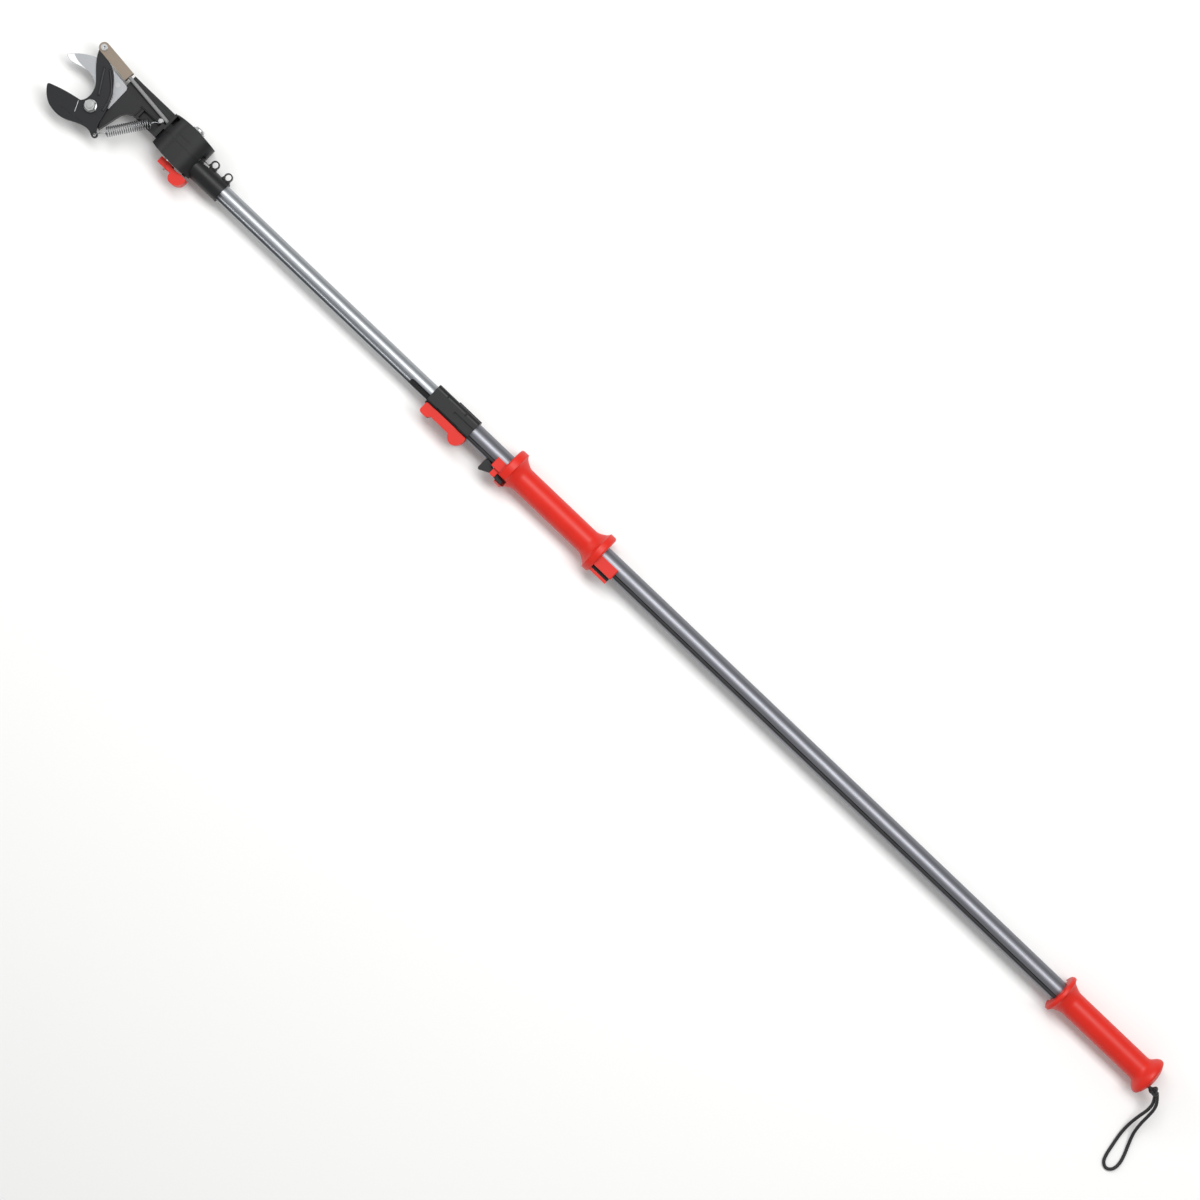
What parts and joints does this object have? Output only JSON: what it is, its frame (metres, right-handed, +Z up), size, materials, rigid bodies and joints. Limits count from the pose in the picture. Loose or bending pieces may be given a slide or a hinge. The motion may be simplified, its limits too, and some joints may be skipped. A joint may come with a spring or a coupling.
{
  "type": "telescoping pole pruner",
  "caption": "Two-part telescoping pole pruner with a rope-pulled bypass hook, fixed blade, tilting head, cam clamps, sliding grip and wrist loop.",
  "frame": {"origin": "on the surface that the pole lies on, on the flat of the lower grip flange at the butt end, in line with the pole axis", "axes": "+X along the pole towards the cutting head, +Y towards the hook and the levers, +Z up from the surface"},
  "size_m": [1.8401, 0.1545, 0.0514],
  "materials": {
    "red_plastic": "satin moulded nylon grip",
    "black_plastic": "moulded glass-filled nylon",
    "tube_dark": "anodised, satin grey",
    "tube_bright": "anodised, satin silver",
    "black_steel": "black coated steel",
    "blade_steel": "ground steel",
    "zinc_steel": "bright zinc plate",
    "yellow_zinc": "yellow passivated zinc",
    "rope_black": "braided polyester",
    "rope_grey": "braided polyester"
  },
  "bodies": {
    "outer_pole": {"outer_tube": "tube_dark", "end_grip": "red_plastic", "end_plug": "black_plastic", "grip_screw": "zinc_steel", "return_rope": "rope_black", "clamp_collar": "black_plastic", "clamp_bush": "black_plastic", "rope_guide": "black_plastic", "clamp_pad": "black_plastic", "clamp_pin": "zinc_steel"},
    "clamp_lever": {"clamp_lever": "red_plastic"},
    "mid_grip": {"mid_grip": "red_plastic", "rope_keeper": "black_plastic", "lock_pin": "zinc_steel", "pull_rope": "rope_black", "wrist_loop": "rope_black", "wrist_knot": "rope_black"},
    "rope_lock": {"rope_lock_lever": "black_plastic"},
    "inner_pole": {"inner_tube": "tube_bright", "return_block": "black_plastic", "return_pin": "zinc_steel", "tube_rope": "rope_grey", "knuckle_sleeve": "black_plastic", "sleeve_screws": "zinc_steel", "tilt_bolt": "zinc_steel", "tilt_washer": "zinc_steel", "thrust_washer": "zinc_steel", "tilt_yoke": "red_plastic", "tilt_pin": "zinc_steel"},
    "return_pulley": {"return_pulley": "black_plastic"},
    "tilt_sheave": {"tilt_sheave": "black_plastic"},
    "tilt_lever": {"tilt_lever": "red_plastic"},
    "head": {"head_frame": "black_plastic", "neck_rope": "rope_grey", "spring_anchor": "zinc_steel", "blade": "blade_steel", "blade_screws": "zinc_steel", "pivot_bolt": "zinc_steel", "pivot_washer": "zinc_steel", "pivot_nut": "zinc_steel"},
    "hook": {"hook_lever": "black_steel"},
    "clevis": {"clevis": "yellow_zinc", "clevis_rivet": "zinc_steel", "rope_ferrule": "zinc_steel", "head_rope": "rope_grey"},
    "spring_top": {"return_spring": "zinc_steel"},
    "spring_tail": {"spring_tail_hook": "zinc_steel"}
  },
  "joints": [
    {"name": "telescope_slide", "type": "slide", "parent": "outer_pole", "child": "inner_pole", "axis": [1, 0, 0], "range_m": [0, 0.95], "deforming": ["return_rope"]},
    {"name": "grip_slide", "type": "slide", "parent": "outer_pole", "child": "mid_grip", "axis": [-1, 0, 0], "range_m": [0, 0.0523]},
    {"name": "clamp_lever_hinge", "type": "hinge", "parent": "outer_pole", "child": "clamp_lever", "pos_m": [1.1768, 0.0174, 0.025], "axis": [0, 0, -1], "range_deg": [0, 100]},
    {"name": "rope_lock_hinge", "type": "hinge", "parent": "mid_grip", "child": "rope_lock", "pos_m": [1.0657, 0.018, 0.029], "axis": [0, 0, 1], "range_deg": [0, 12], "stiffness_Nm_per_rad": 0.1, "springref_deg": -17.19},
    {"name": "head_tilt", "type": "hinge", "parent": "inner_pole", "child": "head", "pos_m": [1.6047, 0, 0.025], "axis": [0, -1, 0], "range_deg": [-45, 90], "deforming": ["neck_rope"]},
    {"name": "tilt_lever_hinge", "type": "hinge", "parent": "inner_pole", "child": "tilt_lever", "pos_m": [1.5996, 0.022, 0.025], "axis": [0, 0, -1], "range_deg": [0, 65]},
    {"name": "hook_hinge", "type": "hinge", "parent": "head", "child": "hook", "pos_m": [1.719, 0.0334, 0.025], "axis": [0, 0, -1], "range_deg": [0, 45], "stiffness_Nm_per_rad": 0.4, "springref_deg": -28.65},
    {"name": "clevis_hinge", "type": "hinge", "parent": "hook", "child": "clevis", "pos_m": [1.755, -0.0288, 0.029], "axis": [0, 0, 1], "range_deg": [0, 35.3], "deforming": ["head_rope"]},
    {"name": "spring_swing", "type": "hinge", "parent": "head", "child": "spring_top", "pos_m": [1.6455, -0.0116, 0.025], "axis": [0, 0, -1], "range_deg": [0, 6.5], "deforming": ["return_spring"]},
    {"name": "spring_stretch", "type": "slide", "parent": "spring_top", "child": "spring_tail", "axis": [0.5713, 0.8207, 0], "range_m": [0, 0.0245], "deforming": ["spring_tail_hook"]},
    {"name": "return_pulley_spin", "type": "hinge", "parent": "inner_pole", "child": "return_pulley", "pos_m": [0.044, 0.00008, 0.02509], "axis": [0, 0.7547, -0.6561], "range_deg": [0, 526.7]},
    {"name": "tilt_sheave_spin", "type": "hinge", "parent": "inner_pole", "child": "tilt_sheave", "pos_m": [1.6047, -0.0134, 0.025], "axis": [0, -1, 0], "range_deg": [0, 411.5]}
  ],
  "couplings": [
    {"joint": "hook_hinge", "follows": "grip_slide", "rad_per_m": 15.017},
    {"joint": "clevis_hinge", "follows": "grip_slide", "rad_per_m": 11.763},
    {"joint": "spring_swing", "follows": "grip_slide", "rad_per_m": 2.1517},
    {"joint": "spring_stretch", "follows": "grip_slide", "ratio": 0.46698},
    {"joint": "return_pulley_spin", "follows": "grip_slide", "rad_per_m": 175.44},
    {"joint": "tilt_sheave_spin", "follows": "grip_slide", "rad_per_m": 136.99}
  ]
}
